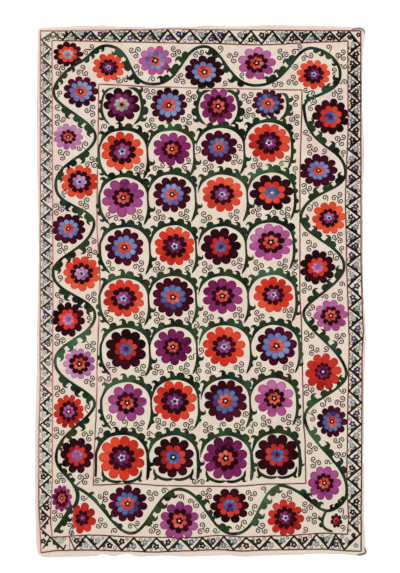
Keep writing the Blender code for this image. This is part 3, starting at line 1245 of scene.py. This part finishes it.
def build_sewing():
    """The overcast stitches of the two seams and the running stitches of the hems."""
    for seam in (CENTRE_SEAM, LEFT_SEAM):
        y = -SEWN
        while y < SEWN:
            x = ease(seam, y)
            reach, lean = between(2.2, 3.4), between(1, 2.4)
            if seam is LEFT_SEAM and -1246 < y < -1100 and chance.random() < 0.7:
                line = [(x - 0.5, y - 5), (x + between(-1, 1), y), (x - 0.5, y + 5)]
                sew(line, 1.3, "umber", height=0.3, tone=between(-0.5, 1))
            line = [(x - reach, y - lean), (x, y), (x + reach, y + lean)]
            sew(line, 0.45, height=0.45, base=-0.1, tone=between(-1, 0))
            y += between(6, 8.5)
    for edge, upright, inward in (
        (left_x, True, 1), (right_x, True, -1), (top_y, False, -1), (bottom_y, False, 1),
    ):
        limit = (HALF_LENGTH if upright else HALF_WIDTH) - 20
        place = -limit
        while place < limit:
            inset = edge(place) + inward * (HEM_STITCH + between(-0.6, 0.6))
            line = [(place, inset), (place + between(3.5, 5), inset)]
            if upright:
                line = [(y, x) for x, y in line]
            sew(line, 0.5, height=0.35, tone=between(-1, -0.3))
            place += between(8, 11)


# Painted shade of the cloth's curled right corners, laid as grey cords round them.
CORNER_SHADE_BREADTH = strays((0, 2), (0.3, 4.4), (0.8, 5), (1, 2))
CORNER_SHADE_CORDS = (
    ((723, 1257), (740, 1266), (757, 1269), (774, 1269), (786, 1264), (792, 1253), (793, 1242)),
    ((790, -1237), (797, -1248), (799, -1257), (795, -1266), (782, -1270), (766, -1273), (757, -1272)),
)
FIBRES = 420  # frayed out of the hems


def build_corner_shade_and_fibres():
    for shade_cord, tone in zip(CORNER_SHADE_CORDS, (1, 0)):
        # painted shade: a grey cord where each right corner curls
        sew(smooth(shade_cord, 3), CORNER_SHADE_BREADTH, "corner_shade_grey", base=0.1, tone=tone, height=1.2)
    for _ in range(FIBRES):
        upright = chance.random() < 0.62
        place = between(-1, 1) * ((HALF_LENGTH if upright else HALF_WIDTH) - 24)
        out = chance.choice((-1, 1))
        edge = ((left_x, right_x) if upright else (bottom_y, top_y))[out > 0]
        inset = edge(place) - out * 1.5
        root = (inset, place) if upright else (place, inset)
        heading = (0 if upright else 90) + (0 if out > 0 else 180) + between(-60, 60)
        line = walk(root, heading, (between(3, 6), between(-120, 120)))
        sew(line, 0.28, height=0.3, tone=between(-0.8, 0))


# ---------------- materials


def linear(colour):
    """A linear RGBA colour from sRGB of 0 to 255."""
    channels = []
    for value in colour:
        value /= 255
        channels.append(value / 12.92 if value <= 0.04045 else ((value + 0.055) / 1.055) ** 2.4)
    return (*channels, 1)


# sRGB dye lots of the green silk that stray from its own.
FERN, OLIVE, SEA_GREEN = (72, 106, 84), (58, 58, 26), (30, 78, 66)
THREADS_A_MM = 0.55
TIES_A_MM = 0.2
# sRGB colours of the cotton. The grey-brown one paints shade along the folded edges; the one after it is
# what the cloth darkens to towards the bottom.
COTTON = {
    "cream": (231, 219, 196), "warm": (231, 204, 196), "pale": (240, 228, 211),
    "weft": (206, 186, 160), "warp": (210, 190, 166), "bleached": (242, 228, 219),
    "edge_shade": (172, 148, 134), "bottom_tint": (221, 207, 188),
}
END_SPACING, PICK_SPACING = 0.0015, 0.0017  # metres, of the weave's threads


class Shader:
    """A new material's nodes, with short calls that add and join them."""

    def __init__(self, name):
        self.material = bpy.data.materials.new(name)
        self.material.use_nodes = True
        self.tree = self.material.node_tree

    def put(self, socket, value):
        if isinstance(value, bpy.types.NodeSocket):
            self.tree.links.new(value, socket)
        else:
            socket.default_value = value

    def finish(self, inputs):
        """Sets inputs of the surface's own shader, by name."""
        for name, value in inputs.items():
            self.put(self.tree.nodes["Principled BSDF"].inputs[name], value)
        return self.material

    def node(self, kind, *inputs, **settings):
        made = self.tree.nodes.new("ShaderNode" + kind)
        for name, value in settings.items():
            setattr(made, name, value)
        for socket, value in zip(made.inputs, inputs):
            self.put(socket, value)
        return made

    def number(self, operation, *inputs):
        return self.node("Math", *inputs, operation=operation).outputs[0]

    def times(self, a, b):
        return self.number("MULTIPLY", a, b)

    def mix(self, share, a, b):
        made = self.node("Mix", data_type="RGBA")
        for socket, value in ((0, share), (6, a), (7, b)):
            self.put(made.inputs[socket], value)
        return made.outputs[2]

    def attribute(self, name, output="Fac"):
        return self.node("Attribute", attribute_name=name).outputs[output]

    def place(self):
        return self.node("TexCoord").outputs["Object"]

    def noise(self, scale, stretch=(1, 1, 1), detail=3):
        mapped = self.node("Mapping")
        made = self.node("TexNoise")
        for socket, value in (
            (mapped.inputs["Vector"], self.place()), (mapped.inputs["Scale"], stretch),
            (made.inputs["Vector"], mapped.outputs[0]), (made.inputs["Scale"], scale),
            (made.inputs["Detail"], detail),
        ):
            self.put(socket, value)
        return made.outputs[0]

    def ramp(self, value, low, high, start=0.0, end=1.0):
        made = self.node("MapRange", value, low, high, start, end, interpolation_type="SMOOTHSTEP")
        return made.outputs[0]

    def bump(self, height, strength, distance):
        made = self.node("Bump")
        for name, value in (("Strength", strength), ("Distance", distance), ("Height", height)):
            self.put(made.inputs[name], value)
        return made.outputs[0]


def silk_material(name, silk):
    """Laid silk: rows of thread tied down by small slanting stitches, with painted shade in the grooves
    between the rows and at a patch's rim.
    """
    s = Shader("silk " + name)
    tone = s.attribute("tone")
    colour, rim, light = linear(silk.colour), linear(silk.rim), linear(silk.light)
    body = s.mix(s.ramp(tone, 0.0, 1.0), colour, light)
    body = s.mix(s.ramp(tone, 0.0, -1.0), body, rim)
    # painted shade: darker towards a patch's rim, where the raised stitches round down
    body = s.mix(s.ramp(s.attribute("rim"), 0.0, 1.0, 0.85, 0.0), body, rim)
    cloud = s.noise(28, detail=2)
    body = s.mix(s.ramp(cloud, 0.45, 0.75, 0.0, 0.3), body, light)
    if name == "green":
        body = s.mix(s.ramp(tone, 0.9, 2.2), body, linear(FERN))
        body = s.mix(s.ramp(s.noise(9, detail=1), 0.56, 0.7, 0.0, 0.75), body, linear(OLIVE))
        body = s.mix(s.ramp(s.noise(13, (1, 1, 9), detail=1), 0.6, 0.72, 0.0, 0.4), body, linear(SEA_GREEN))
    split = s.node("SeparateXYZ", s.attribute("thread", "Vector"))
    along, across = split.outputs[0], s.times(split.outputs[1], THREADS_A_MM)
    ridge = s.number("SINE", s.times(s.number("FRACT", across), math.pi))
    slant = s.times(s.number("FLOOR", across), 0.37)
    tie = s.number("FRACT", s.number("ADD", s.times(along, TIES_A_MM), slant))
    tied = s.ramp(s.number("ABSOLUTE", s.number("SUBTRACT", tie, 0.5)), 0.36, 0.5)
    height = s.number("SUBTRACT", ridge, s.times(tied, 0.5))
    s.material.diffuse_color = colour
    return s.finish({
        # painted shade in the grooves between the laid threads
        "Base Color": s.mix(s.ramp(ridge, 0.0, 0.7, 0.55, 0.0), body, rim),
        "Normal": s.bump(height, 0.6, 0.0006),
        "Roughness": s.ramp(cloud, 0.3, 0.7, 0.42, 0.58),
        "Specular IOR Level": 0.05,
        "Sheen Weight": 0.012,
        "Sheen Roughness": 0.35,
    })


def cotton_material():
    """Hand-woven, undyed cotton: uneven threads, faint stains, a paler margin with painted shade along its
    folded edge, and a little darker towards the bottom.
    """
    s = Shader("hand-woven cotton")
    hues = {name: linear(colour) for name, colour in COTTON.items()}
    shade = s.mix(s.ramp(s.noise(6, detail=4), 0.3, 0.75), hues["cream"], hues["warm"])
    shade = s.mix(s.ramp(s.noise(11), 0.45, 0.7, 0.0, 0.6), shade, hues["pale"])
    weft, warp = s.noise(60, (0.05, 6, 1), detail=4), s.noise(60, (6, 0.05, 1), detail=4)
    shade = s.mix(s.ramp(weft, 0.52, 0.75, 0.0, 0.2), shade, hues["weft"])
    shade = s.mix(s.ramp(warp, 0.52, 0.75, 0.0, 0.2), shade, hues["warp"])
    margin = s.attribute("margin")
    worn = s.times(s.ramp(margin, 0.3, 1.0), s.ramp(s.noise(24, detail=4), 0.3, 0.6, 0.35, 0.9))
    shade = s.mix(worn, shade, hues["bleached"])
    # painted shade along the hem's folded edge, mottled
    edge_shade_mask = s.times(s.ramp(margin, 0.88, 0.98), s.ramp(s.noise(7), 0.35, 0.6, 0.15, 0.85))
    shade = s.mix(edge_shade_mask, shade, hues["edge_shade"])
    place = s.node("SeparateXYZ", s.place())
    # a little darker towards the bottom
    shade = s.mix(s.ramp(place.outputs[1], -0.1, -1.2, 0.0, 0.6), shade, hues["bottom_tint"])
    ends = s.number("SINE", s.times(place.outputs[0], 2 * math.pi / END_SPACING))
    picks = s.number("SINE", s.times(place.outputs[1], 2 * math.pi / PICK_SPACING))
    threads = s.number("ADD", s.times(s.times(ends, picks), 0.35), s.number("ADD", weft, warp))
    s.material.diffuse_color = hues["cream"]
    return s.finish({
        "Base Color": shade,
        "Normal": s.bump(threads, 0.5, 0.0007),
        "Roughness": 0.92,
        "Specular IOR Level": 0.15,
        "Sheen Weight": 0.1,
    })


# ---------------- the making

build_field()
for flower in FLOWERS:
    rosette(*flower)
build_vine()
build_guards()
build_zigzag()
build_curls()
build_sewing()
build_corner_shade_and_fibres()

cotton = cotton_material()
for name, left, right, hem in (
    ("left", left_x, beside(LEFT_SEAM, -1), "left"),
    ("middle", beside(LEFT_SEAM, 1), beside(CENTRE_SEAM, -1), None),
    ("right", beside(CENTRE_SEAM, 1), right_x, "right"),
):
    make_panel("ground_" + name, "panel_" + name, left, right, hem)

for name, sewn in stitches.items():
    mesh = bpy.data.meshes.new("silk_" + name)
    mesh.from_pydata(sewn.points, [], sewn.faces)
    add_numbers(mesh, "tone", sewn.tones)
    # rim masks the painted shade at each patch's rim
    add_numbers(mesh, "rim", sewn.rims)
    add_numbers(mesh, "thread", sewn.threads, "FLOAT_VECTOR", "CORNER")
    mesh.shade_smooth()
    mesh.materials.append(silk_material(name, SILKS[name]))
    ride(link("silk_" + name, mesh))

# ---------------- the photograph's setting

CAMERA_MIDDLE = (-0.0014, 0.0227)
VIEW_LENGTH = 2.768  # of the surface, that the camera sees from top to bottom
LENS, SENSOR = 150, 36
FLOOR = 9  # from its middle to its sides
WHITE = (1, 1, 1, 1)
SKY_STRENGTH, SUN_ENERGY = 0.6, 1.75
SUN_SIZE, SUN_TILT = 6, (-38, -24, 0)  # degrees

floor_mesh = bpy.data.meshes.new("floor")
corners = [(-FLOOR, -FLOOR, 0), (FLOOR, -FLOOR, 0), (FLOOR, FLOOR, 0), (-FLOOR, FLOOR, 0)]
floor_mesh.from_pydata(corners, [], [(0, 1, 2, 3)])
floor_mesh.materials.append(Shader("white paper").finish({
    "Base Color": (0.95, 0.95, 0.95, 1),
    "Roughness": 0.9,
    "Specular IOR Level": 0.1,
    "Emission Color": WHITE,
    "Emission Strength": 0.25,
}))
link("floor", floor_mesh)

world = bpy.data.worlds.new("studio")
world.use_nodes = True
world.node_tree.nodes["Background"].inputs["Color"].default_value = WHITE
world.node_tree.nodes["Background"].inputs["Strength"].default_value = SKY_STRENGTH
bpy.context.scene.world = world

key = bpy.data.lights.new("key", "SUN")
key.energy = SUN_ENERGY
key.angle = math.radians(SUN_SIZE)
lamp = link("key", key)
lamp.location = (0, 0, 5)
lamp.rotation_euler = [math.radians(tilt) for tilt in SUN_TILT]

camera_data = bpy.data.cameras.new("camera")
camera_data.lens = LENS
camera_data.sensor_width = SENSOR
camera = link("camera", camera_data)
camera.location = (*CAMERA_MIDDLE, VIEW_LENGTH * LENS / SENSOR)
bpy.context.scene.camera = camera
bpy.context.scene.view_settings.view_transform = "Standard"
